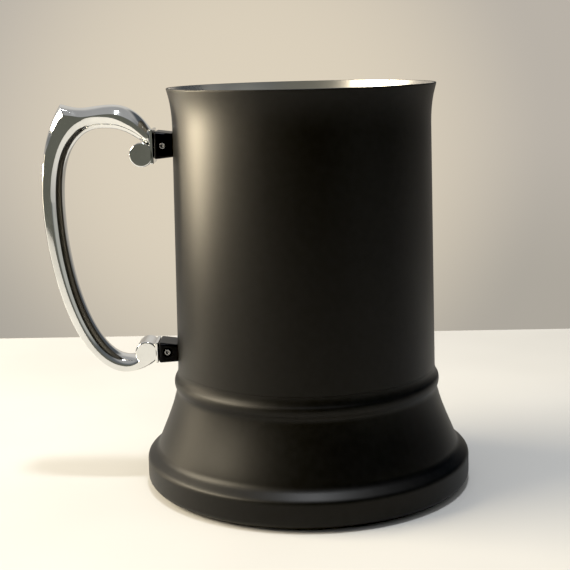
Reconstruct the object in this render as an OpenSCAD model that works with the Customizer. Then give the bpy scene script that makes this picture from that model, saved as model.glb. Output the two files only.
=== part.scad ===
// Double-walled drinking tankard with a flared foot and a scrolled cast handle.
// Origin: on the cup's axis, at the level of the table. +Z is up and the handle points to -X.

/* [Barrel] */
// Height of the rim above the table
height = 135; // [133:0.5:137]
// Radius of the rim's outer edge
rim_r = 44.8; // [44.4:0.1:45.2]
// Radius of the barrel below the rim's flare
neck_r = 43.1; // [43:0.1:43.4]
// Radius of the barrel where it meets the foot
barrel_r = 44; // [43.8:0.1:44.2]
// Height over which the rim flares out
flare_h = 13; // [10:1:16]
// Thickness of the sheet steel
sheet_t = 0.6; // [0.5:0.1:0.7]

/* [Drinking cup] */
// Inside radius of the drinking cup
cup_r = 39.5; // [38:0.1:40]
// Height of the cup's floor above the table
cup_floor = 20; // [18:1:26]
// Inside radius of the round between the cup's wall and its floor
cup_corner_r = 8; // [5:1:12]

/* [Foot] */
// Height of the foot's upper edge on the barrel
collar_h = 40; // [39.5:0.5:41]
// Radius of the round bead near the upper edge
bead_r = 45.3; // [45.1:0.1:45.6]
// Radius of the band at the bottom of the foot
foot_r = 55.4; // [54.8:0.1:56]
// Height of the band's straight side
band_h = 8.2; // [7.5:0.1:9]
// Inside radius of the flat ring that the foot stands on
ring_r = 45; // [44:0.5:45.5]

/* [Handle] */
// How far the handle reaches from the cup's axis
handle_reach = 88.3; // [86:0.1:92]
// Width of the handle across its side faces
handle_w = 11; // [9:0.5:12]
// Depth of the bevel along the handle's outer edges
handle_bevel = 1.1; // [0.8:0.1:1.4]
// Radius of the round scroll at each end
scroll_r = 3.9; // [3.5:0.1:4]

/* [Blocks and pins] */
// Width of the plastic blocks between handle and barrel
block_w = 11.6; // [10.5:0.1:13]
// Radius of the rounds along the blocks' edges
block_round = 1.2; // [0.8:0.1:1.4]
// Radius of the cross pins
pin_r = 1; // [0.8:0.1:1.1]

/* [Hidden] */
$fn = 96;

// Colours of the finishes
coat = "#1b1b1d";
steel = "#b9b6b0";
chrome = "#d8dadc";
plastic = "#101216";

// Clearance between pieces that lie against each other
gap = 0.05;
// Radius of the barrel's stepped-in lower end, which the foot's collar slips over
step_r = barrel_r - sheet_t - gap;
// Height of the lower end of the barrel inside the foot
barrel_bottom = 28;
// Height at which the flare of the rim begins
flare_z = height - flare_h;
// Height at which the drinking cup leaves the rim's flare
cup_top = 112;

// The foot's outline: bead, groove, hollow flare and shoulder
bead_h = 35.2;
groove = [44.75, 32.4];
shoulder_w = 3.3;
shoulder_h = 4.2;
crease = [foot_r - shoulder_w - 0.1, band_h + shoulder_h - 0.5];
corner_w = 7.4;
corner_h = 2.6;

// The rim of the plate that closes the foot, and the raised floor inside it
plate_r = ring_r + 1.6;
plate_step_r = 40;
plate_rise = 2.2;

// Each joint of handle and barrel: x of the block's two ends, and its bottom and top
block_x0 = -49.4;
block_x1 = -42.6;
upper_z0 = 111.9;
upper_z1 = 120.6;
lower_shift = 0.9;
lower_z0 = 42.3;
lower_z1 = 48.6;
flange_t = 1.3;
upper_flange_z = [110.2, 121.6];
lower_flange_z = [41.8, 50.4];
pin_x = -46.2;
upper_pin_z = 116;
lower_pin_z = 45.5;
upper_scroll = [-53.5, 113.1];
lower_scroll = [-54.3, 45.4];

// Weld tab on the barrel, and the forked tang of the handle that straddles it
tab_t = 2.4;
tab_h = 4.4;
tab_x0 = -48.4;
cheek_t = 1.4;
tang_h = 4.6;
tang_slot = tab_t / 2 + gap;
tang_half = tang_slot + cheek_t;
hole_r = pin_r + gap;
head_r = 1.4;
head_depth = 0.6;

// Steps along each stretch of the handle, and around half of its section
arm_steps = 14;
thumb_steps = 6;
bow_steps = 18;
section_steps = 5;

// ---- Curves and sheets ----

// Points of a cubic curve from a to d, steered by b and c
function curve(a, b, c, d, n) = [
    for (i = [0:n])
        let (t = i / n, s = 1 - t)
            s * s * s * a + 3 * s * s * t * b + 3 * s * t * t * c + t * t * t * d
];

// Points of an elliptic arc about c, with half-widths rx and ry
function arc(c, rx, ry, from, to, n) = [
    for (i = [0:n])
        let (a = from + (to - from) * i / n)
            c + [rx * cos(a), ry * sin(a)]
];

// A list without its first item
function rest(v) = [for (i = [1:len(v) - 1]) v[i]];

// A list in the opposite order
function reversed(v) = [for (i = [len(v) - 1:-1:0]) v[i]];

// Unit normal to the left of the step from a to b
function left_of(a, b) = let (t = (b - a) / norm(b - a)) [-t[1], t[0]];

// The path moved to its left by d, with mitred corners
function inset(p, d) = [
    for (i = [0:len(p) - 1])
        let (last = len(p) - 1,
             n1 = left_of(p[max(i - 1, 0)], p[max(i, 1)]),
             n2 = left_of(p[min(i, last - 1)], p[min(i + 1, last)]))
            p[i] + d * (n1 + n2) / (1 + n1 * n2)
];

// Half-round that closes the end of a sheet whose path ends at p with left normal n
function round_end(p, n, t) = [
    for (a = [30:30:150])
        p + t / 2 * n - t / 2 * [n[0] * cos(a) + n[1] * sin(a), n[1] * cos(a) - n[0] * sin(a)]
];

// A turned sheet: its outside follows path, and its metal is t thick
module turned_sheet(path, t, rounded) {
    last = len(path) - 1;
    n = left_of(path[last - 1], path[last]);
    rotate_extrude()
        polygon(concat(path, rounded ? round_end(path[last], n, t) : [], reversed(inset(path, t))));
}

// ---- Sheet metal body ----

// Height of the rim's outline below the half-round at its very top
rim_z = height - sheet_t / 2;

// The flare of the rim, from the barrel up to the rounded edge
rim_flare = curve([neck_r, flare_z], [neck_r + 0.05, height - 6.5], [rim_r - 0.9, height - 3.6], [rim_r, rim_z], 14);

// The drinking cup's outside leaves this flare just inside the barrel
liner_flare = inset(rim_flare, sheet_t + gap);

module outer_barrel() {
    color(coat)
        turned_sheet(concat([[step_r, barrel_bottom], [step_r, collar_h + gap], [barrel_r, collar_h + gap]],
                            [[(barrel_r + neck_r) / 2, 76]], rim_flare), sheet_t, true);
}

module inner_liner() {
    // Outside of the floor and wall
    wall_r = cup_r + sheet_t;
    floor_z = cup_floor - sheet_t;
    corner_r = cup_corner_r + sheet_t;
    first = liner_flare[0];
    color(steel)
        turned_sheet(concat([[0, floor_z]],
                            arc([wall_r - corner_r, floor_z + corner_r], corner_r, corner_r, -90, 0, 10),
                            curve([wall_r, cup_top - 10], [wall_r, cup_top], [first[0] - 0.4, cup_top], first, 10),
                            rest(liner_flare)), sheet_t, false);
}

module foot_skirt() {
    ring = [[ring_r, 0]];
    corner = arc([foot_r - corner_w, corner_h], corner_w, corner_h, -90, 0, 10);
    round_shoulder = arc([foot_r - shoulder_w, band_h], shoulder_w, shoulder_h, 0, 90, 10);
    flare = curve(crease, [50, 17], [46.2, 25], groove, 16);
    bead = curve(groove, [45.3, 33.6], [bead_r + 0.3, bead_h + 0.4], [44.75, 37], 8);
    fillet = curve([44.75, 37], [44.3, 37.9], [barrel_r + 0.05, 38.6], [barrel_r, collar_h], 6);
    color(coat)
        turned_sheet(concat(ring, corner, round_shoulder, flare, rest(bead), rest(fillet)), sheet_t, false);
}

module base_plate() {
    low = sheet_t + gap;
    color(steel)
        turned_sheet([[0, low + plate_rise], [plate_step_r - 3, low + plate_rise], [plate_step_r, low], [plate_r, low]],
                     sheet_t, false);
}

// ---- Handle ----

// Crown of the handle's outside, from the upper joint over the thumb point and down to the lower joint
thumb_point = [-80.6, 130.3];
outer_line = concat(
    curve([-50.2, 120.7], [-56.5, 128.6], [-63, 130.3], [-73, 128.6], arm_steps),
    rest(curve([-73, 128.6], [-76.5, 128.1], [-78.5, 129.2], thumb_point, thumb_steps)),
    rest(curve(thumb_point, [-85, 123.2], [-handle_reach, 112], [-handle_reach, 98], bow_steps)),
    rest(curve([-handle_reach, 98], [-handle_reach, 84], [-84.4, 63], [-77.4, 50.7], bow_steps)),
    rest(curve([-77.4, 50.7], [-73.6, 44.2], [-68, 38.1], [-61.9, 38.1], arm_steps)),
    rest(curve([-61.9, 38.1], [-58.5, 38.1], [-54.6, 39.4], [-51.2, 42], thumb_steps)));

// The inside of the handle, step for step across from the outside
inner_line = concat(
    curve([-51, 115.6], [-57, 118.6], [-61, 122], [-66.5, 122], arm_steps),
    rest(curve([-66.5, 122], [-69.5, 122], [-72.2, 120.9], [-74.4, 119.2], thumb_steps)),
    rest(curve([-74.4, 119.2], [-79.6, 115], [-81, 107], [-81, 97], bow_steps)),
    rest(curve([-81, 97], [-81, 84], [-78.6, 66], [-72.2, 53.7], bow_steps)),
    rest(curve([-72.2, 53.7], [-69, 47.6], [-65, 43.7], [-60.4, 43.7], arm_steps)),
    rest(curve([-60.4, 43.7], [-57, 43.7], [-54.2, 44.4], [-51.6, 46], thumb_steps)));

// One side of the section, as depth from the crown and distance from the middle plane
function half_section(depth) =
    let (w = handle_w / 2, side = handle_bevel + 2.6)
        concat([[0, 0], [0.2, w - 2.2], [handle_bevel, w - 0.6], [handle_bevel + 0.7, w]],
               arc([side, 0], depth - side, w, 90, 0, section_steps));

// The whole ring of the section between an outside point and an inside point
function section_ring(outside, inside) =
    let (depth = norm(inside - outside),
         u = (inside - outside) / depth,
         half = half_section(depth),
         other = [for (i = [len(half) - 2:-1:1]) [half[i][0], -half[i][1]]])
        [for (q = concat(half, other)) [outside[0] + u[0] * q[0], q[1], outside[1] + u[1] * q[0]]];

module handle_bow() {
    rings = [for (i = [0:len(outer_line) - 1]) section_ring(outer_line[i], inner_line[i])];
    m = len(rings[0]);
    last = len(rings) - 1;
    side_faces = [
        for (i = [0:last - 1])
            for (j = [0:m - 1])
                [i * m + j, (i + 1) * m + j, (i + 1) * m + (j + 1) % m, i * m + (j + 1) % m]
    ];
    start_cap = [for (j = [0:m - 1]) j];
    end_cap = [for (j = [m - 1:-1:0]) last * m + j];
    polyhedron(points = [for (r = rings) for (p = r) p],
               faces = concat(side_faces, [start_cap], [end_cap]), convexity = 8);
}

// A round bar along Y through the point p of the middle plane
module cross_bar(p, r, length) {
    translate([p[0], length / 2, p[1]])
        rotate([90, 0, 0])
            cylinder(r = r, h = length);
}

// End of the handle: scroll, flange and the forked tang with its pin hole
module handle_end(scroll, flange_z, x, pin) {
    cross_bar(scroll, scroll_r, handle_w);
    translate([x - flange_t, -handle_w / 2, flange_z[0]])
        cube([flange_t, handle_w, flange_z[1] - flange_z[0]]);
    difference() {
        translate([x - flange_t, -tang_half, pin[1] - tang_h / 2])
            cube([pin[0] + 2 - x + flange_t, 2 * tang_half, tang_h]);
        translate([x, -tang_slot, pin[1] - tang_h])
            cube([10, 2 * tang_slot, 2 * tang_h]);
        cross_bar(pin, hole_r, 4 * tang_half);
    }
}

module handle() {
    color(chrome)
        union() {
            handle_bow();
            handle_end(upper_scroll, upper_flange_z, block_x0, [pin_x, upper_pin_z]);
            handle_end(lower_scroll, lower_flange_z, block_x0 - lower_shift, [pin_x - lower_shift, lower_pin_z]);
        }
}

// ---- Blocks, tabs and pins ----

// Round bar along X with half-round edges: the outside of a block before it is cut
module block_body(x0, x1, z0, z1) {
    w = block_w / 2 - block_round;
    translate([x0, 0, 0])
        rotate([90, 0, 90])
            linear_extrude(x1 - x0)
                polygon(concat(arc([w, z1 - block_round], block_round, block_round, 0, 90, 6),
                               arc([-w, z1 - block_round], block_round, block_round, 90, 180, 6),
                               arc([-w, z0 + block_round], block_round, block_round, 180, 270, 6),
                               arc([w, z0 + block_round], block_round, block_round, 270, 360, 6)));
}

// Plastic sleeve round the tang: hollow for the tang, drilled for the pin, hollowed to sit on the barrel
module block(x0, z0, z1, pin) {
    color(plastic)
        difference() {
            block_body(x0 + gap, block_x1 + 2, z0, z1);
            cylinder(r = barrel_r + gap, h = height);
            translate([x0 - 1, -tang_half - gap, pin[1] - tang_h / 2 - gap])
                cube([12, 2 * (tang_half + gap), tang_h + 2 * gap]);
            cross_bar(pin, hole_r, 2 * block_w);
            for (side = [-1, 1])
                translate([pin[0], side * block_w / 2, pin[1]])
                    rotate([90, 0, 0])
                        cylinder(r = head_r + gap, h = 2 * head_depth, center = true);
        }
}

module upper_block() block(block_x0, upper_z0, upper_z1, [pin_x, upper_pin_z]);

module lower_block()
    block(block_x0 - lower_shift, lower_z0, lower_z1, [pin_x - lower_shift, lower_pin_z]);

// Steel tab welded on the barrel, with the pin's cross hole
module tab(pin) {
    color(steel)
        difference() {
            translate([pin[0] - 2, -tab_t / 2, pin[1] - tab_h / 2])
                cube([8, tab_t, tab_h]);
            cylinder(r = barrel_r + gap, h = height);
            cross_bar(pin, hole_r, 4 * tab_t);
        }
}

module upper_tab() tab([pin_x, upper_pin_z]);

module lower_tab() tab([pin_x - lower_shift, lower_pin_z]);

// Cross pin with a low round head in each side of the block
module cross_pin(pin) {
    shank = block_w - 2 * head_depth;
    color(chrome) {
        cross_bar(pin, pin_r, shank + 0.2);
        for (side = [-1, 1])
            translate([pin[0], side * shank / 2, pin[1]])
                rotate([-90 * side, 0, 0])
                    rotate_extrude()
                        polygon(concat([[0, 0.1]], arc([0, 0.1], head_r, head_depth - 0.2, 0, 90, 6)));
    }
}

module upper_pin() cross_pin([pin_x, upper_pin_z]);

module lower_pin() cross_pin([pin_x - lower_shift, lower_pin_z]);

inner_liner();
outer_barrel();
foot_skirt();
base_plate();
handle();
upper_block();
lower_block();
upper_tab();
lower_tab();
upper_pin();
lower_pin();
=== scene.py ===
# %% [markdown]
# # A black drinking tankard with a chromed handle
# The tankard is a double-walled steel cup. Its outside is powder coated in matt black, it stands on a
# spun foot, and a chromed cast handle is pinned to it between two black plastic blocks. Its sizes come
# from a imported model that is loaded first. Everything here is in metres, in that model's own frame:
# +Z is up, the cup's axis is the Z axis, and the handle points to -X.

# %% Load the frame
import math

import bmesh
import bpy
from mathutils import Matrix, Vector


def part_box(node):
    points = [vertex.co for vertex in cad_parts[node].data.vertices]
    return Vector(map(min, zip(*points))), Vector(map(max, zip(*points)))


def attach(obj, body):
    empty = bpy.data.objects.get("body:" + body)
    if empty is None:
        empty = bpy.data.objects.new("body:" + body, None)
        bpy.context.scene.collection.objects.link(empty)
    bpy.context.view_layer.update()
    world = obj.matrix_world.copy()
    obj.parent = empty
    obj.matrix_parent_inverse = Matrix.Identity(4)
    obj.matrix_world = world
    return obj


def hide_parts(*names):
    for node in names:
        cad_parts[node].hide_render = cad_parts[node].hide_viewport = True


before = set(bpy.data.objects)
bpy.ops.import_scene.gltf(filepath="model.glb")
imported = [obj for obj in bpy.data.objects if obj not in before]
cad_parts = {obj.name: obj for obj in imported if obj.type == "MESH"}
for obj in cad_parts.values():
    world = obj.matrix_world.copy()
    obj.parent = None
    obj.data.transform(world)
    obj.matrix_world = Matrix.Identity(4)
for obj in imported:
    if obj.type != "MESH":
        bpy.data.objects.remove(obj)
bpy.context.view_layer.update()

MM = 0.001

# %% [markdown]
# ## The camera
# A camera can be placed with an empty as its target, or by its own angles. Here the view is known as a
# distance, a height and three small angles, so the matrix is built from them. The lens shift moves the
# picture without turning the camera, which keeps upright lines upright.

# %% Camera
camera_distance = 0.41097
camera_height = 0.14693
yaw, pitch, roll = -0.0361, 0.1588, -0.0257
forward = Vector((math.sin(yaw) * math.cos(pitch), math.cos(yaw) * math.cos(pitch), -math.sin(pitch)))
level = Vector((math.cos(yaw), -math.sin(yaw), 0))
upward = level.cross(forward)
right = level * math.cos(roll) + upward * math.sin(roll)
top = upward * math.cos(roll) - level * math.sin(roll)

camera_data = bpy.data.cameras.new("camera")
camera_data.sensor_width = 36
camera_data.lens = 77.31
camera_data.shift_x = 0.0439
camera_data.shift_y = -0.0702
camera_data.clip_start = 0.01
camera = bpy.data.objects.new("camera", camera_data)
camera.matrix_world = Matrix.Translation((0, -camera_distance, camera_height)) @ Matrix(
    (right, top, -forward)).transposed().to_4x4()
bpy.context.scene.collection.objects.link(camera)
bpy.context.scene.camera = camera
print("camera at", camera.location[:])

# %% [markdown]
# ## Small tools for outlines
# Turned and cast shapes are drawn first as an outline of a few points. A cubic curve is steered by two
# handle points, an arc goes around a centre, and `chain` joins stretches and drops the points that two
# of them share. `inset` moves an outline sideways, which gives sheet metal its thickness.

# %% Outline tools
def curve(a, b, c, d, steps):
    a, b, c, d = (Vector(p) for p in (a, b, c, d))
    points = []
    for i in range(steps + 1):
        t = i / steps
        s = 1 - t
        points.append(s**3 * a + 3 * s * s * t * b + 3 * s * t * t * c + t**3 * d)
    return points


def arc(centre, rx, ry, start, end, steps):
    points = []
    for i in range(steps + 1):
        angle = math.radians(start + (end - start) * i / steps)
        points.append(Vector((centre[0] + rx * math.cos(angle), centre[1] + ry * math.sin(angle))))
    return points


def line(a, b, steps=1):
    a, b = Vector(a), Vector(b)
    return [a.lerp(b, i / steps) for i in range(steps + 1)]


def chain(*stretches):
    points = []
    for stretch in stretches:
        for p in stretch:
            if not points or (Vector(p) - points[-1]).length > 1e-6:
                points.append(Vector(p))
    return points


def left_of(a, b):
    step = (b - a).normalized()
    return Vector((-step.y, step.x))


def inset(path, amount):
    moved = []
    last = len(path) - 1
    for i, p in enumerate(path):
        n1 = left_of(path[max(i - 1, 0)], path[max(i, 1)])
        n2 = left_of(path[min(i, last - 1)], path[min(i + 1, last)])
        moved.append(p + amount * (n1 + n2) / (1 + n1.dot(n2)))
    return moved


# %% [markdown]
# ## From a mesh under construction to a finished piece
# Every piece is shaped in a bmesh. `finish_mesh` merges doubles and makes the object, and
# `smooth_but_for_edges` turns all faces outwards and marks the edges that are sharp on the real piece.
# The object stays at the origin and its place is in its mesh, so a pattern on object coordinates stays
# where it is. `place` gives the piece its finish and its part in the frame.

# %% Piece tools
DOUBLES = 1e-7


def smooth_but_for_edges(bm, sharp_angle):
    bmesh.ops.recalc_face_normals(bm, faces=bm.faces)
    for face in bm.faces:
        face.smooth = True
    for edge in bm.edges:
        edge.smooth = edge.calc_face_angle(0) < math.radians(sharp_angle)


def new_object(bm, name):
    mesh = bpy.data.meshes.new(name)
    bm.to_mesh(mesh)
    bm.free()
    made = bpy.data.objects.new(name, mesh)
    bpy.context.scene.collection.objects.link(made)
    return made


def finish_mesh(bm, name, sharp_angle):
    bmesh.ops.remove_doubles(bm, verts=bm.verts, dist=DOUBLES)
    smooth_but_for_edges(bm, sharp_angle)
    piece = new_object(bm, name)
    print(name, "has", len(piece.data.polygons), "faces")
    return piece


def give_finish(piece, material):
    piece.data.materials.clear()
    piece.data.materials.append(material)


def place(piece, node, material):
    give_finish(piece, material)
    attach(piece, "root")
    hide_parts(node)


# %% [markdown]
# A bevelled flat face can look swollen, because smooth shading bends its light towards the rounded
# edge. Weighted normals stop that: the large flat faces decide, and the narrow rounds do the bending.

# %% Keep flat faces flat
def keep_flats(piece):
    weigh = piece.modifiers.new("flat faces lead", "WEIGHTED_NORMAL")
    weigh.mode = "FACE_AREA_WITH_ANGLE"
    weigh.weight = 60
    weigh.keep_sharp = True


# %% [markdown]
# ## Shared surface effects
# Three effects are node groups with named sockets, so a finish can take what it needs: a fine grain,
# faint smudges from handling, and the rings that a polishing lathe leaves. They put out plain values.
# The shader itself stays in each material, where its own numbers can be read.

# %% Node group tools
def new_group(name, inputs, outputs):
    group = bpy.data.node_groups.new(name, "ShaderNodeTree")
    for label, default in inputs:
        socket = group.interface.new_socket(label, in_out="INPUT", socket_type="NodeSocketFloat")
        socket.default_value = default
    for label in outputs:
        group.interface.new_socket(label, in_out="OUTPUT", socket_type="NodeSocketFloat")
    print("effect", name, "gives", outputs)
    return group, group.nodes.new("NodeGroupInput"), group.nodes.new("NodeGroupOutput")


def feed(tree, socket, value):
    if isinstance(value, (int, float)):
        socket.default_value = value
    else:
        tree.links.new(value, socket)


def math_node(tree, operation, a, b):
    node = tree.nodes.new("ShaderNodeMath")
    node.operation = operation
    feed(tree, node.inputs[0], a)
    feed(tree, node.inputs[1], b)
    return node.outputs[0]


def noise_node(tree, coordinates, scale, detail=2.0, roughness=0.5):
    node = tree.nodes.new("ShaderNodeTexNoise")
    node.inputs["Detail"].default_value = detail
    node.inputs["Roughness"].default_value = roughness
    tree.links.new(coordinates, node.inputs["Vector"])
    feed(tree, node.inputs["Scale"], scale)
    return node.outputs["Fac"]


# %% Fine grain: the texture of powder coat, moulded plastic and cast metal
def make_grain_group():
    group, given, result = new_group("fine grain", [("Scale", 2500.0), ("Mottle Scale", 300.0)],
                                     ["Grain", "Mottle"])
    where = group.nodes.new("ShaderNodeTexCoord").outputs["Object"]
    grain = noise_node(group, where, given.outputs["Scale"], detail=3.0, roughness=0.6)
    mottle = noise_node(group, where, given.outputs["Mottle Scale"])
    group.links.new(grain, result.inputs["Grain"])
    group.links.new(mottle, result.inputs["Mottle"])
    return group


grain_group = make_grain_group()


# %% Smudges: broad, faint changes of gloss from hands and cloths
def make_smudge_group():
    group, given, result = new_group("smudges", [("Scale", 30.0), ("Base", 0.4), ("Amount", 0.05)],
                                     ["Roughness", "Mask"])
    where = group.nodes.new("ShaderNodeTexCoord").outputs["Object"]
    cloud = noise_node(group, where, given.outputs["Scale"], detail=5.0, roughness=0.6)
    centred = math_node(group, "SUBTRACT", cloud, 0.5)
    scaled = math_node(group, "MULTIPLY", centred, given.outputs["Amount"])
    doubled = math_node(group, "MULTIPLY", scaled, 2.0)
    total = math_node(group, "ADD", given.outputs["Base"], doubled)
    group.links.new(total, result.inputs["Roughness"])
    group.links.new(cloud, result.inputs["Mask"])
    return group


smudge_group = make_smudge_group()


# %% Lathe rings: fine lines around the axis, on walls and floors alike
def make_ring_group():
    group, given, result = new_group("lathe rings", [("Scale", 2600.0)], ["Lines", "Bands"])
    where = group.nodes.new("ShaderNodeTexCoord").outputs["Object"]
    split = group.nodes.new("ShaderNodeSeparateXYZ")
    group.links.new(where, split.inputs[0])
    xx = math_node(group, "MULTIPLY", split.outputs["X"], split.outputs["X"])
    yy = math_node(group, "MULTIPLY", split.outputs["Y"], split.outputs["Y"])
    radius = math_node(group, "SQRT", math_node(group, "ADD", xx, yy), 0.0)
    ring = group.nodes.new("ShaderNodeCombineXYZ")
    group.links.new(radius, ring.inputs["X"])
    group.links.new(split.outputs["Z"], ring.inputs["Z"])
    drift = math_node(group, "MULTIPLY", split.outputs["X"], 0.006)
    group.links.new(drift, ring.inputs["Y"])
    lines = noise_node(group, ring.outputs[0], given.outputs["Scale"], roughness=0.7)
    bands = noise_node(group, ring.outputs[0], 160.0, detail=1.0)
    group.links.new(lines, result.inputs["Lines"])
    group.links.new(bands, result.inputs["Bands"])
    return group


ring_group = make_ring_group()


# %% Material tools
def new_material(name, **settings):
    material = bpy.data.materials.new(name)
    material.use_nodes = True
    shader = material.node_tree.nodes["Principled BSDF"]
    for label, value in settings.items():
        shader.inputs[label.replace("_", " ")].default_value = value
    print("material", name)
    return material, material.node_tree, shader


def use_group(tree, group, **settings):
    node = tree.nodes.new("ShaderNodeGroup")
    node.node_tree = group
    for label, value in settings.items():
        node.inputs[label.replace("_", " ")].default_value = value
    return node


def add_bump(tree, shader, height, strength, distance, before=None):
    bump = tree.nodes.new("ShaderNodeBump")
    bump.inputs["Strength"].default_value = strength
    bump.inputs["Distance"].default_value = distance
    tree.links.new(height, bump.inputs["Height"])
    if before:
        tree.links.new(before, bump.inputs["Normal"])
    tree.links.new(bump.outputs["Normal"], shader.inputs["Normal"])
    return bump.outputs["Normal"]


def blend_colours(tree, factor, dark, light):
    ramp = tree.nodes.new("ShaderNodeValToRGB")
    ramp.color_ramp.elements[0].position = 0.35
    ramp.color_ramp.elements[0].color = (*dark, 1)
    ramp.color_ramp.elements[1].position = 0.65
    ramp.color_ramp.elements[1].color = (*light, 1)
    tree.links.new(factor, ramp.inputs["Fac"])
    return ramp.outputs["Color"]


# %% [markdown]
# ## Matt black powder coat
# Powder coat is a baked paint. It is nearly black, it spreads a highlight widely, and close up it has
# the fine pebbled skin of the melted powder. A broad gloss with a fine bump gives that, and the faint
# smudges keep a large plain wall from looking computed.

# %% Powder coat
def make_powder_coat():
    material, tree, shader = new_material("powder coat", Specular_IOR_Level=0.28)
    grain = use_group(tree, grain_group, Scale=2600.0, Mottle_Scale=420.0)
    smudge = use_group(tree, smudge_group, Scale=26.0, Base=0.45, Amount=0.05)
    colour = blend_colours(tree, grain.outputs["Mottle"], (0.0026, 0.0026, 0.0028),
                           (0.0038, 0.0038, 0.0041))
    tree.links.new(colour, shader.inputs["Base Color"])
    tree.links.new(smudge.outputs["Roughness"], shader.inputs["Roughness"])
    skin = add_bump(tree, shader, grain.outputs["Grain"], 0.12, 0.00002)
    add_bump(tree, shader, grain.outputs["Mottle"], 0.10, 0.00003, skin)
    return material


powder_coat = make_powder_coat()

# %% [markdown]
# ## Satin stainless steel
# The drinking cup is bare steel, finished on a lathe. Its lines run around the axis on the wall and in
# circles on the floor. One noise, read by radius and height, draws both.

# %% Satin steel
def make_satin_steel():
    material, tree, shader = new_material("satin steel", Metallic=1.0)
    rings = use_group(tree, ring_group, Scale=5200.0)
    smudge = use_group(tree, smudge_group, Scale=40.0, Base=0.29, Amount=0.08)
    colour = blend_colours(tree, rings.outputs["Bands"], (0.60, 0.59, 0.57), (0.70, 0.69, 0.67))
    tree.links.new(colour, shader.inputs["Base Color"])
    tree.links.new(smudge.outputs["Roughness"], shader.inputs["Roughness"])
    add_bump(tree, shader, rings.outputs["Lines"], 0.25, 0.00002)
    return material


satin_steel = make_satin_steel()

# %% [markdown]
# ## Chrome plate
# Chrome copies whatever stands around it, so its look comes from the room and from the shape. A
# perfect mirror looks wrong on a casting: the polished metal under the plate is never quite flat. A
# low, slow wave in the surface and a trace of haze give that.

# %% Chrome
def make_chrome():
    material, tree, shader = new_material("chrome", Metallic=1.0)
    wave = use_group(tree, grain_group, Scale=1500.0, Mottle_Scale=110.0)
    smudge = use_group(tree, smudge_group, Scale=90.0, Base=0.055, Amount=0.035)
    colour = blend_colours(tree, smudge.outputs["Mask"], (0.70, 0.71, 0.71), (0.78, 0.79, 0.79))
    tree.links.new(colour, shader.inputs["Base Color"])
    tree.links.new(smudge.outputs["Roughness"], shader.inputs["Roughness"])
    slow = add_bump(tree, shader, wave.outputs["Mottle"], 0.08, 0.0003)
    add_bump(tree, shader, wave.outputs["Grain"], 0.02, 0.00002, slow)
    return material


chrome = make_chrome()

# %% [markdown]
# ## Moulded plastic and pin steel
# The blocks are smoother than the coat, and cooler in colour. The pins are plain steel rod, turned at
# the ends and darker than the cup's steel.

# %% Plastic and pins
def make_plastic():
    material, tree, shader = new_material("moulded plastic", Specular_IOR_Level=0.12)
    grain = use_group(tree, grain_group, Scale=3800.0, Mottle_Scale=700.0)
    smudge = use_group(tree, smudge_group, Scale=160.0, Base=0.33, Amount=0.06)
    colour = blend_colours(tree, grain.outputs["Mottle"], (0.004, 0.0045, 0.006),
                           (0.006, 0.0065, 0.009))
    tree.links.new(colour, shader.inputs["Base Color"])
    tree.links.new(smudge.outputs["Roughness"], shader.inputs["Roughness"])
    add_bump(tree, shader, grain.outputs["Grain"], 0.15, 0.00002)
    return material


def make_pin_steel():
    material, tree, shader = new_material("pin steel", Metallic=1.0)
    grain = use_group(tree, grain_group, Scale=5000.0, Mottle_Scale=900.0)
    smudge = use_group(tree, smudge_group, Scale=300.0, Base=0.13, Amount=0.05)
    colour = blend_colours(tree, grain.outputs["Mottle"], (0.20, 0.20, 0.21), (0.28, 0.28, 0.29))
    tree.links.new(colour, shader.inputs["Base Color"])
    tree.links.new(smudge.outputs["Roughness"], shader.inputs["Roughness"])
    add_bump(tree, shader, grain.outputs["Grain"], 0.2, 0.00002)
    return material


plastic = make_plastic()
pin_steel = make_pin_steel()

# %% [markdown]
# ## Turning a shell
# The barrel, foot, cup and base plate are all turned or spun on a lathe, so one tool makes them. The
# outline is drawn once as a chain of edges, and the spin operator sweeps it around the axis. The full
# turn is merged onto its own start, and the points on the axis become one pole.

# %% Spin an outline round the cup's axis
def spin_outline(corners, axis, steps, closed):
    bm = bmesh.new()
    verts = [bm.verts.new(corner) for corner in corners]
    edges = [bm.edges.new(pair) for pair in zip(verts, verts[1:])]
    if closed:
        edges.append(bm.edges.new((verts[-1], verts[0])))
    bmesh.ops.spin(bm, geom=verts + edges, axis=axis, cent=(0, 0, 0), dvec=(0, 0, 0),
                   angle=2 * math.pi, steps=steps, use_merge=True, use_duplicate=False)
    return bm


def turned(name, outline):
    corners = [(p.x * MM, 0, p.y * MM) for p in outline]
    return finish_mesh(spin_outline(corners, (0, 0, 1), 224, closed=True), name, sharp_angle=40)


# %% [markdown]
# ## The barrel
# The barrel is one drawn sheet. It widens very slightly towards the foot, and the rim flares out to a
# rounded edge. Its lower end steps in, and the foot's collar slips over that step. The rim's size and
# height are read from the frame, and the rounded edge stays a hair inside them.

# %% Barrel
rim_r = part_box("outer_barrel")[1][0] / MM
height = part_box("outer_barrel")[1][2] / MM
collar_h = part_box("foot_skirt")[1][2] / MM
sheet_t = 0.6
gap = 0.05
hair = 0.01
neck_r = 43.1
barrel_r = 44.0
step_r = barrel_r - sheet_t - gap
barrel_bottom = 28
flare_z = height - 13
rim_z = height - sheet_t / 2 - 3 * hair

rim_flare = curve((neck_r, flare_z), (neck_r + 0.05, height - 6.5), (rim_r - 0.9, height - 3.6),
                  (rim_r - 2 * hair, rim_z), 28)
edge_normal = left_of(rim_flare[-2], rim_flare[-1])
edge_centre = rim_flare[-1] + edge_normal * sheet_t / 2
edge_start = math.degrees(math.atan2(-edge_normal.y, -edge_normal.x))
rim_edge = arc(edge_centre, sheet_t / 2, sheet_t / 2, edge_start, edge_start + 180, 8)

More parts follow.
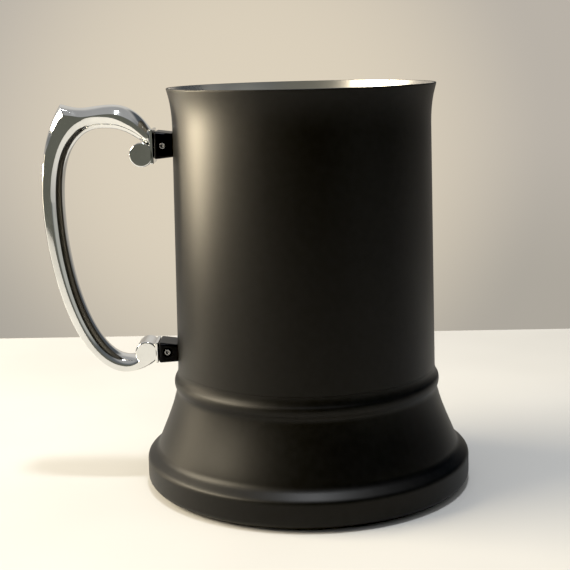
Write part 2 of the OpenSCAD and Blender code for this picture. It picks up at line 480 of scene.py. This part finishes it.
barrel_side = chain(line((step_r, barrel_bottom), (step_r, collar_h + gap), 3),
                    line((step_r, collar_h + gap), (barrel_r, collar_h + gap)),
                    line((barrel_r, collar_h + gap), (neck_r, flare_z), 12), rim_flare)
barrel_outline = chain(barrel_side, rim_edge, reversed(inset(barrel_side, sheet_t)))
barrel = turned("barrel", barrel_outline)
place(barrel, "outer_barrel", powder_coat)

# %% [markdown]
# ## The foot
# The foot is spun from one sheet. From the top it has a collar, a round bead, a groove, a hollow flare,
# a soft crease, a shoulder that slopes into a straight band, and a rounded lower corner. The rounds in
# the groove, the crease and the shoulder matter, because a line of light lies in each of them.

# %% Foot
foot_r = min(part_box("foot_skirt")[1][:2]) / MM - hair
band_h = 8.6
shoulder_w, shoulder_h = 2.35, 3.05
corner_w, corner_h = 6.4, 3.3
ring_r = 45.0
shoulder_end = Vector((foot_r - shoulder_w, band_h + shoulder_h))
crease_w, crease_h = 1.7, 2.1

ring_and_corner = chain(line((ring_r, 0), (foot_r - corner_w, 0), 2),
                        arc((foot_r - corner_w, corner_h), corner_w, corner_h, -90, 0, 16))
shoulder = curve((foot_r, band_h), (foot_r, band_h + 1.5), shoulder_end + Vector((1.8, -1.35)),
                 shoulder_end, 20)
crease = curve(shoulder_end, shoulder_end + Vector((-0.5, 0.36)), shoulder_end + Vector((-1.25, 0.95)),
               shoulder_end + Vector((-crease_w, crease_h)), 10)
flare = curve(crease[-1], (50.0, 17.6), (46.25, 25), (44.85, 31.6), 28)
groove = curve(flare[-1], (44.72, 32.4), (44.72, 32.8), (44.95, 33.4), 6)
bead = curve(groove[-1], (45.5, 34.6), (45.55, 36.0), (44.75, 37.0), 14)
fillet = curve(bead[-1], (44.3, 37.9), (barrel_r + 0.05, 38.6), (barrel_r, collar_h), 10)
foot_side = chain(ring_and_corner, line(ring_and_corner[-1], shoulder[0], 4), shoulder, crease, flare,
                  groove, bead, fillet)
foot = turned("foot", chain(foot_side, reversed(inset(foot_side, sheet_t))))
place(foot, "foot_skirt", powder_coat)

# %% [markdown]
# ## The drinking cup
# The cup follows the rim's flare just inside the barrel, leaves it, and runs down to a round corner and
# a flat floor. The space between cup and barrel is the closed gap that keeps a drink cold.

# %% Drinking cup
cup_r = 39.5
cup_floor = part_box("inner_liner")[0][2] / MM + sheet_t
cup_corner_r = 8.0
cup_top = 112
wall_r = cup_r + sheet_t
corner_r = cup_corner_r + sheet_t
floor_z = cup_floor - sheet_t
cup_flare = inset(rim_flare, sheet_t + gap)
cup_side = chain(line((0, floor_z), (wall_r - corner_r, floor_z), 8),
                 arc((wall_r - corner_r, floor_z + corner_r), corner_r, corner_r, -90, 0, 18),
                 line((wall_r, floor_z + corner_r), (wall_r, cup_top - 10), 8),
                 curve((wall_r, cup_top - 10), (wall_r, cup_top), (cup_flare[0].x - 0.4, cup_top),
                       cup_flare[0], 18), cup_flare)
cup = turned("drinking_cup", chain(cup_side, reversed(inset(cup_side, sheet_t))))
place(cup, "inner_liner", satin_steel)

# %% [markdown]
# ## The base plate
# A pressed disc closes the foot from below. Its floor is raised, so the tankard stands on the foot's
# ring alone and doesn't rock.

# %% Base plate
plate_low = sheet_t + gap
plate_high = plate_low + 2.2
plate_r = ring_r + 1.6
step_inner_r, step_outer_r = 36, 40
step_middle_r = step_outer_r - 1.6
plate_side = chain(line((0, plate_high), (step_inner_r, plate_high), 6),
                   curve((step_inner_r, plate_high), (step_middle_r, plate_high),
                         (step_middle_r, plate_low), (step_outer_r, plate_low), 10),
                   line((step_outer_r, plate_low), (plate_r, plate_low), 3))
plate = turned("base_plate", chain(plate_side, reversed(inset(plate_side, sheet_t))))
place(plate, "base_plate", satin_steel)

# %% [markdown]
# ## The handle's bow
# The handle is a casting that was filed and polished by its faces: a domed crown outside, a slanted
# facet beside it, a flat side, and a round inside for the fingers. Two curves, one outside and one
# inside, steer it step for step. At each step stands a closed loop in the shape of the section, and
# the bridge operator skins one loop to the next.

# %% Handle: the two steering curves
reach = -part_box("handle")[0][0] / MM - hair
thumb_point = Vector((-80.7, 130.3))
widest_z = 98
end_steps, arm_steps, thumb_steps, bow_steps = 20, 12, 12, 40

outer_line = chain(
    curve((-50.6, 121.5), (-53.4, 125.7), (-57, 129.9), (-64, 129.8), end_steps),
    curve((-64, 129.8), (-68.5, 129.7), (-71, 129.0), (-73.5, 128.95), arm_steps),
    curve((-73.5, 128.95), (-76.5, 128.9), (-78.6, 129.8), thumb_point, thumb_steps),
    curve(thumb_point, (-85.1, 123.8), (-reach, 112.6), (-reach, widest_z), bow_steps),
    curve((-reach, widest_z), (-reach, 84), (-84.6, 63), (-77.6, 50.7), bow_steps),
    curve((-77.6, 50.7), (-73.8, 44.1), (-68, 38), (-61.9, 38), end_steps),
    curve((-61.9, 38), (-58.5, 38), (-54.6, 39.2), (-51.2, 41.8), thumb_steps))
inner_line = chain(
    curve((-51, 115.6), (-54.6, 117.6), (-58.2, 121.3), (-64, 121.8), end_steps),
    curve((-64, 121.8), (-67.5, 122.1), (-69.8, 121.9), (-71.8, 120.9), arm_steps),
    curve((-71.8, 120.9), (-72.9, 120.4), (-73.7, 119.8), (-74.4, 119.1), thumb_steps),
    curve((-74.4, 119.1), (-79.3, 114.6), (-80.8, 107), (-80.8, widest_z - 1), bow_steps),
    curve((-80.8, widest_z - 1), (-80.8, 84), (-78.3, 66), (-71.9, 53.8), bow_steps),
    curve((-71.9, 53.8), (-68.7, 47.7), (-65, 43.8), (-60.4, 43.8), end_steps),
    curve((-60.4, 43.8), (-57.4, 43.8), (-54.8, 45.2), (-52.4, 47.4), thumb_steps))
print("the handle has", len(outer_line), "steps outside and", len(inner_line), "inside")

# %% [markdown]
# The section isn't the same all along. The crown is highest and the facet widest on the upper arm and
# at the thumb point, and both fade into a thin bright edge down the bow. A few stations hold the
# sizes, and the steps between two stations blend smoothly from one to the next. The bow is a trace
# narrower than the scrolls at its ends, so that no two of their faces lie in one plane.

# %% Handle: how the section changes on the way
half_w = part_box("handle")[1][1] / MM - hair
bow_half_w = half_w - 0.06
thumb_step = end_steps + arm_steps + thumb_steps
bow_middle = thumb_step + bow_steps
bow_end = bow_middle + bow_steps
last_step = bow_end + end_steps + thumb_steps

crown_stations = ((0, 1.0), (6, 1.9), (12, 1.9), (20, 1.6), (32, 1.5), (thumb_step, 1.6),
                  (thumb_step + 8, 1.2), (thumb_step + 22, 0.8), (last_step, 0.75))
facet_stations = ((0, 1.2), (20, 1.35), (36, 1.5), (thumb_step, 2.3), (thumb_step + 6, 1.7),
                  (thumb_step + 16, 1.3), (thumb_step + 24, 0.5), (bow_middle, 0.35), (last_step, 0.35))
edge_stations = ((0, 4.5), (20, 4.2), (thumb_step, 4.2), (thumb_step + 20, 4.6), (last_step, 4.75))
round_stations = ((0, 2.2), (12, 3.2), (20, 3.9), (32, 4.2), (thumb_step, 4.3), (bow_middle, 4.3),
                  (bow_end, 3.6), (last_step - thumb_steps, 3.2), (last_step, 1.0))


def between(stations, step):
    for (start, a), (end, b) in zip(stations, stations[1:]):
        if step <= end:
            t = (step - start) / (end - start)
            return a + (b - a) * t * t * (3 - 2 * t)
    return stations[-1][1]


print("at the thumb point the facet is", between(facet_stations, thumb_step), "mm deep")


# %% Handle: the section at one step
def softened(points, radius, steps=3):
    result = [Vector(points[0])]
    for before, corner, after in zip(points, points[1:], points[2:]):
        before, corner, after = Vector(before), Vector(corner), Vector(after)
        cut = min(radius, (before - corner).length * 0.45, (after - corner).length * 0.45)
        start = corner + (before - corner).normalized() * cut
        end = corner + (after - corner).normalized() * cut
        for i in range(steps + 1):
            t = i / steps
            result.append((1 - t)**2 * start + 2 * t * (1 - t) * corner + t * t * end)
    result.append(Vector(points[-1]))
    return result


dome_steps = 7
edge_softness = 0.18
least_side = 0.25
lean = math.radians(12)


def half_section(depth, step):
    crown = between(crown_stations, step)
    edge = between(edge_stations, step)
    facet = between(facet_stations, step)
    side_end = max(depth - between(round_stations, step), crown + facet + least_side)
    dome = [(crown * (i / dome_steps)**2, edge * i / dome_steps) for i in range(dome_steps)]
    flats = [dome[-1], (crown, edge), (crown + facet, bow_half_w), (side_end, bow_half_w)]
    wide = bow_half_w / math.cos(lean)
    long = (depth - side_end) / (1 - math.sin(lean))
    inside = arc((depth - long, 0), long, wide, 90 - math.degrees(lean), 0, 15)
    return chain(dome, softened(flats, edge_softness)[1:], inside)


# %% Handle: skin the bow and close its ends
def section_loop(bm, outside, inside, step):
    depth = (inside - outside).length
    across = (inside - outside) / depth
    half = half_section(depth, step)
    ring = [(p.x, p.y) for p in half] + [(p.x, -p.y) for p in reversed(half[1:-1])]
    verts = [bm.verts.new(((outside.x + across.x * u) * MM, v * MM, (outside.y + across.y * u) * MM))
             for u, v in ring]
    return verts, [bm.edges.new((a, b)) for a, b in zip(verts, verts[1:] + verts[:1])]


def add_bow(bm):
    loops = [section_loop(bm, a, b, step) for step, (a, b) in enumerate(zip(outer_line, inner_line))]
    for (_, before), (_, after) in zip(loops, loops[1:]):
        bmesh.ops.bridge_loops(bm, edges=before + after)
    bm.faces.new(loops[0][0])
    bm.faces.new(loops[-1][0])


# %% [markdown]
# ## Scrolls, flanges and tangs
# Each end of the handle curls into a scroll, which is a short round bar with softened rims, and ends in
# a flat flange against the block. A forked tang goes on into the block. These are a cone and cubes from
# the create operators, moved into place and bevelled.

# %% Handle: bars and boxes with round edges
LIE_ALONG_Y = Matrix.Rotation(math.pi / 2, 4, "X")


def round_edges(bm, edges, rounding, segments):
    bmesh.ops.bevel(bm, geom=edges, offset=rounding * MM, offset_type="OFFSET", affect="EDGES",
                    segments=segments, profile=0.5, material=-1)


def add_bar(bm, centre, radius, width, rounding):
    where = Matrix.Translation((centre[0] * MM, 0, centre[1] * MM)) @ LIE_ALONG_Y
    made = bmesh.ops.create_cone(bm, cap_ends=True, segments=72, radius1=radius * MM,
                                 radius2=radius * MM, depth=width * MM, matrix=where)
    ends = {f for v in made["verts"] for f in v.link_faces if len(f.verts) > 4}
    round_edges(bm, list({e for f in ends for e in f.edges}), rounding, 5)


def add_box(bm, low, high, rounding, segments=4):
    size = [(b - a) * MM for a, b in zip(low, high)]
    centre = [(a + b) / 2 * MM for a, b in zip(low, high)]
    made = bmesh.ops.create_cube(bm, size=1.0,
                                 matrix=Matrix.Translation(centre) @ Matrix.Diagonal((*size, 1)))
    round_edges(bm, list({e for v in made["verts"] for e in v.link_edges}), rounding, segments)


# %% Handle: one end with its scroll, flange and forked tang
flange_t = 1.3
tab_t = 2.4
cheek_t = 1.4
tang_h = 4.6
tang_slot = tab_t / 2 + gap
past_pin = 2


def add_end(bm, scroll, scroll_r, flange_z, flange_x, pin):
    add_bar(bm, scroll, scroll_r, 2 * half_w, 0.5)
    add_box(bm, (flange_x - flange_t, -half_w, flange_z[0]), (flange_x, half_w, flange_z[1]), 0.45)
    for side in (-1, 1):
        near, far = sorted((side * tang_slot, side * (tang_slot + cheek_t)))
        add_box(bm, (flange_x - 0.5, near, pin[1] - tang_h / 2),
                (pin[0] + past_pin, far, pin[1] + tang_h / 2), 0.2)


# %% Handle: build the casting
def centre_of(node):
    middle = (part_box(node)[0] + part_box(node)[1]) / 2 / MM
    return middle.x, middle.z


upper_pin_at = centre_of("upper_pin")
lower_pin_at = centre_of("lower_pin")
upper_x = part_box("upper_block")[0][0] / MM - gap
lower_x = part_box("lower_block")[0][0] / MM - gap
print("the pins' places are", upper_pin_at, "and", lower_pin_at)

bm = bmesh.new()
add_bow(bm)
add_end(bm, (-53.5, 113.0), 4.1, (109.8, 121.5), upper_x, upper_pin_at)
add_end(bm, (-54.3, 45.3), 3.9, (41.8, 48.8), lower_x, lower_pin_at)
handle = finish_mesh(bm, "handle_casting", sharp_angle=38)
keep_flats(handle)
place(handle, "handle", chrome)

# %% [markdown]
# ## The plastic blocks
# A block is a moulded sleeve that fills the space between flange and barrel. It tapers a little towards
# the barrel and its edges are well rounded. The end at the barrel is hollowed by a boolean with a
# cylinder as wide as the barrel, and another cuts the round recess for the pin's head.

# %% Blocks: cutting with a cylinder
def cut_with_cylinder(piece, centre, radius, length, turn, segments):
    bm = bmesh.new()
    where = Matrix.Translation([c * MM for c in centre]) @ turn
    bmesh.ops.create_cone(bm, cap_ends=True, segments=segments, radius1=radius * MM,
                          radius2=radius * MM, depth=length * MM, matrix=where)
    cutter = new_object(bm, "cutter")
    cut = piece.modifiers.new("cut", "BOOLEAN")
    cut.operation = "DIFFERENCE"
    cut.solver = "EXACT"
    cut.object = cutter
    bpy.context.view_layer.update()
    shaped = piece.evaluated_get(bpy.context.evaluated_depsgraph_get())
    shaped_mesh = bpy.data.meshes.new_from_object(shaped)
    piece.modifiers.clear()
    piece.data = shaped_mesh
    bpy.data.objects.remove(cutter)


def barrel_at(z):
    along = (z - collar_h) / (flare_z - collar_h)
    return barrel_r + (neck_r - barrel_r) * along


# %% Blocks: taper, cuts and finish
raw_h = 10
past_barrel = 4
saddle_h = 40
block_round = 1.1
block_edge_angle = 35
recess_r = 1.5
recess_depth = 0.7


def taper(bm, low_x, high_x, wide_end, narrow_end):
    for vert in bm.verts:
        along = min((vert.co.x / MM - low_x) / (high_x - low_x), 1)
        bottom, top_side = (a + (b - a) * along for a, b in zip(wide_end, narrow_end))
        vert.co.z = (bottom + (top_side - bottom) * vert.co.z / MM / raw_h) * MM


def make_block(name, node, pin, wide_end, narrow_end):
    low, high = (Vector(corner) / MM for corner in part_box(node))
    bm = bmesh.new()
    add_box(bm, (low.x + 2 * hair, low.y + 2 * hair, 0),
            (high.x + past_barrel, high.y - 2 * hair, raw_h), block_round, segments=6)
    taper(bm, low.x, high.x, wide_end, narrow_end)
    block = finish_mesh(bm, name, block_edge_angle)
    middle = (low.z + high.z) / 2
    cut_with_cylinder(block, (0, 0, middle), barrel_at(middle) + gap, saddle_h, Matrix.Identity(4), 160)
    for side in (-1, 1):
        cut_with_cylinder(block, (pin[0], side * high.y, pin[1]), recess_r, 2 * recess_depth,
                          LIE_ALONG_Y, 48)
    bm = bmesh.new()
    bm.from_mesh(block.data)
    smooth_but_for_edges(bm, block_edge_angle)
    bm.to_mesh(block.data)
    bm.free()
    keep_flats(block)
    place(block, node, plastic)


make_block("upper_block_moulding", "upper_block", upper_pin_at, (111.3, 120.9), (112.3, 119.7))
make_block("lower_block_moulding", "lower_block", lower_pin_at, (41.65, 49.0), (42.35, 47.7))

# %% [markdown]
# ## The cross pins
# Only the low round heads of the pins show. The outline of half a head is spun about the pin's axis,
# with a small turned dimple in the middle, and the pin is the same at both ends.

# %% Pins
rod_r = 1.0
dimple_r = 0.48
brow_r = 1.12


def make_pin(name, node, pin):
    low, high = (Vector(corner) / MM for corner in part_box(node))
    rim = (high.y - low.y) / 2 - 0.05
    head_r = (high.x - low.x) / 2 - 0.05
    dimple = curve((0, rim - 0.42), (0.25, rim - 0.42), (0.35, rim - 0.3), (dimple_r, rim - 0.12), 6)
    brow = curve(dimple[-1], (0.62, rim + 0.04), (0.95, rim + 0.06), (brow_r, rim - 0.14), 10)
    edge = curve(brow[-1], (1.2, rim - 0.25), (1.3, rim - 0.32), (head_r, rim - 0.42), 5)
    rod = [(head_r - 0.05, rim - 0.5), (rod_r, rim - 0.55), (rod_r, 0)]
    corners = [(p.x * MM, p.y * MM, 0) for p in chain(dimple, brow, edge, rod)]
    bm = spin_outline(corners, (0, 1, 0), 48, closed=False)
    bmesh.ops.mirror(bm, geom=bm.verts[:] + bm.edges[:] + bm.faces[:], axis="Y", merge_dist=DOUBLES)
    bmesh.ops.translate(bm, verts=bm.verts, vec=(pin[0] * MM, 0, pin[1] * MM))
    place(finish_mesh(bm, name, sharp_angle=35), node, pin_steel)


make_pin("upper_cross_pin", "upper_pin", upper_pin_at)
make_pin("lower_cross_pin", "lower_pin", lower_pin_at)

# %% [markdown]
# ## The weld tabs
# The two steel tabs sit inside the blocks, and their shape in the frame is right as it is. They only
# get the steel.

# %% Tabs
for tab_name in ("upper_tab", "lower_tab"):
    give_finish(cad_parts[tab_name], satin_steel)
    print(tab_name, "keeps its shape and gets", satin_steel.name)

# %% [markdown]
# ## The table and the room
# A chrome handle shows the whole room, so the room is part of the look. An image of a real room would
# do it, but a few soft areas of light and dark are enough, and each can be moved. The table top is a
# pale slab with soft edges. It ends a little way behind the tankard, and its top lies a trace below
# the foot, so that no two faces share a plane.

# %% Table
def make_table():
    bm = bmesh.new()
    low = Vector((-0.75, -0.62, -0.03))
    high = Vector((0.75, 0.216, -0.00002))
    where = Matrix.Translation((low + high) / 2) @ Matrix.Diagonal((*(high - low), 1))
    bmesh.ops.create_cube(bm, size=1.0, matrix=where)
    round_edges(bm, bm.edges[:], 4, 4)
    table = finish_mesh(bm, "table_top", sharp_angle=32)
    material, tree, shader = new_material("pale table", Roughness=0.6, Specular_IOR_Level=0.12)
    grain = use_group(tree, grain_group, Scale=900.0, Mottle_Scale=9.0)
    colour = blend_colours(tree, grain.outputs["Mottle"], (0.52, 0.517, 0.506), (0.56, 0.557, 0.546))
    tree.links.new(colour, shader.inputs["Base Color"])
    add_bump(tree, shader, grain.outputs["Grain"], 0.05, 0.00005)
    give_finish(table, material)


make_table()

# %% [markdown]
# The room is the world's background, mixed step by step from the direction in which a ray leaves. Each
# step lays one area over the last: a warm wall with a glow behind the tankard, a paler upper wall, a
# dim half on the camera's side, a grey shelf at the front right, a dark area behind the camera, a dark
# shade high at the back right, and a grey ceiling. Diffuse rays get one even grey, which fills the
# shadows, and the camera itself sees only the wall.

# %% Room tools
def new_room():
    world = bpy.data.worlds.new("room")
    world.use_nodes = True
    bpy.context.scene.world = world
    return world.node_tree


room = new_room()
direction = room.nodes.new("ShaderNodeTexCoord").outputs["Generated"]


def ramp(value, low, high):
    node = room.nodes.new("ShaderNodeMapRange")
    node.interpolation_type = "SMOOTHSTEP"
    node.inputs["From Min"].default_value = low
    node.inputs["From Max"].default_value = high
    room.links.new(value, node.inputs["Value"])
    return node.outputs["Result"]


def towards(aim, wide, narrow):
    dot = room.nodes.new("ShaderNodeVectorMath")
    dot.operation = "DOT_PRODUCT"
    dot.inputs[1].default_value = Vector(aim).normalized()
    room.links.new(direction, dot.inputs[0])
    return ramp(dot.outputs["Value"], math.cos(math.radians(wide)), math.cos(math.radians(narrow)))


def lay_over(factor, below, above):
    node = room.nodes.new("ShaderNodeMix")
    node.data_type = "RGBA"
    room.links.new(factor, node.inputs["Factor"])
    for socket, value in ((node.inputs["A"], below), (node.inputs["B"], above)):
        if isinstance(value, tuple):
            socket.default_value = (*value, 1)
        else:
            room.links.new(value, socket)
    return node.outputs["Result"]


# %% Room: what stands in each direction
def paint_room():
    split = room.nodes.new("ShaderNodeSeparateXYZ")
    room.links.new(direction, split.inputs[0])
    rays = room.nodes.new("ShaderNodeLightPath")
    plain = lay_over(ramp(split.outputs["Z"], -0.20, -0.06), (0.42, 0.39, 0.34), (0.49, 0.45, 0.395))
    wall = lay_over(towards((-0.047, 0.99, -0.08), 14.5, 1), plain, (0.72, 0.64, 0.51))
    high = lay_over(ramp(split.outputs["Z"], 0.12, 0.30), wall, (0.74, 0.71, 0.66))
    sides = lay_over(ramp(split.outputs["Y"], -0.3, 0.5), (0.15, 0.16, 0.165), high)
    shelf = lay_over(towards((0.80, -0.58, 0.0), 26, 14), sides, (0.50, 0.50, 0.45))
    dark = lay_over(towards((-0.10, -1.0, 0.05), 40, 33), shelf, (0.15, 0.15, 0.122))
    shade = lay_over(towards((0.70, 0.60, 0.45), 36, 20), dark, (0.10, 0.11, 0.12))
    ceiling_seen = lay_over(ramp(split.outputs["Z"], 0.70, 0.90), shade, (0.42, 0.415, 0.41))
    filled = lay_over(rays.outputs["Is Diffuse Ray"], ceiling_seen, (0.45, 0.455, 0.46))
    seen = lay_over(rays.outputs["Is Camera Ray"], filled, wall)
    room.links.new(seen, room.nodes["Background"].inputs["Color"])
    print("the room is mixed by", len(room.nodes), "nodes")


paint_room()

# %% [markdown]
# ## How the picture is developed
# Of the view transforms, Standard keeps a white table white, and the softer ones would turn it grey. A
# raised black level takes the faint haze out of the darkest parts, so the black coat stays deep.

# %% Develop
look = bpy.context.scene.view_settings
look.view_transform = "Standard"
look.use_curve_mapping = True
look.curve_mapping.black_level = (0.009, 0.009, 0.009)
look.curve_mapping.update()
print("view transform", look.view_transform)

# %% [markdown]
# ## The lights
# The long soft highlight down the left of the barrel comes from a bright window at the left, a little
# behind the tankard and hardly above it. Two narrow beams from the same side reach only the upper part
# of the barrel, so the highlight fades downwards. A wide skylight at the upper left lights the hollow
# flare of the foot and the table, so the shadow falls to the right. A small lamp overhead draws the
# line along the foot's shoulder, and a large soft ceiling light fills the shadows.

# %% Light tools
def hang(name, data, power, colour, place_at, look_at):
    data.energy = power
    data.color = colour
    light = bpy.data.objects.new(name, data)
    aim = (Vector(look_at) - Vector(place_at)).to_track_quat("-Z", "Y")
    light.matrix_world = Matrix.Translation(place_at) @ aim.to_matrix().to_4x4()
    light.visible_camera = False
    bpy.context.scene.collection.objects.link(light)
    print("light", name, "of", power, "W")
    return light


def add_light(name, place_at, look_at, size_x, size_y, power, colour, spread=180):
    data = bpy.data.lights.new(name, "AREA")
    data.spread = math.radians(spread)
    data.shape = "RECTANGLE"
    data.size = size_x
    data.size_y = size_y
    return hang(name, data, power, colour, place_at, look_at)


def add_beam(name, place_at, look_at, power, colour):
    data = bpy.data.lights.new(name, "SPOT")
    data.spot_size = math.radians(5.6)
    data.spot_blend = 1.0
    data.shadow_soft_size = 0.03
    return hang(name, data, power, colour, place_at, look_at)


# %% Lights
window_colour = (1.0, 0.85, 0.60)
skylight_colour = (1.0, 0.87, 0.64)
barrel_upper_left = (-0.03, -0.026, 0.130)
foot_centre = (0, 0, 0)

add_light("window", (-1.05, 0.24, 0.06), (0, 0, 0.08), 0.46, 0.30, 0.34, window_colour, spread=50)
add_beam("window_beam", (-1.05, 0.24, 0.11), barrel_upper_left, 74.0, window_colour)
add_beam("side_beam", (-1.07, -0.02, 0.11), barrel_upper_left, 30.0, window_colour)
add_light("skylight", (-1.0, -0.08, 0.64), (0, 0, 0.02), 0.95, 0.45, 27.0, skylight_colour)
ceiling = add_light("ceiling", (-0.3, 0.1, 1.3), foot_centre, 1.0, 1.0, 2.6, (1.0, 0.99, 0.97))
ceiling.visible_glossy = False
add_light("lamp", (0.05, -0.12, 1.2), foot_centre, 0.10, 0.10, 6.5, (0.94, 0.97, 1.0))
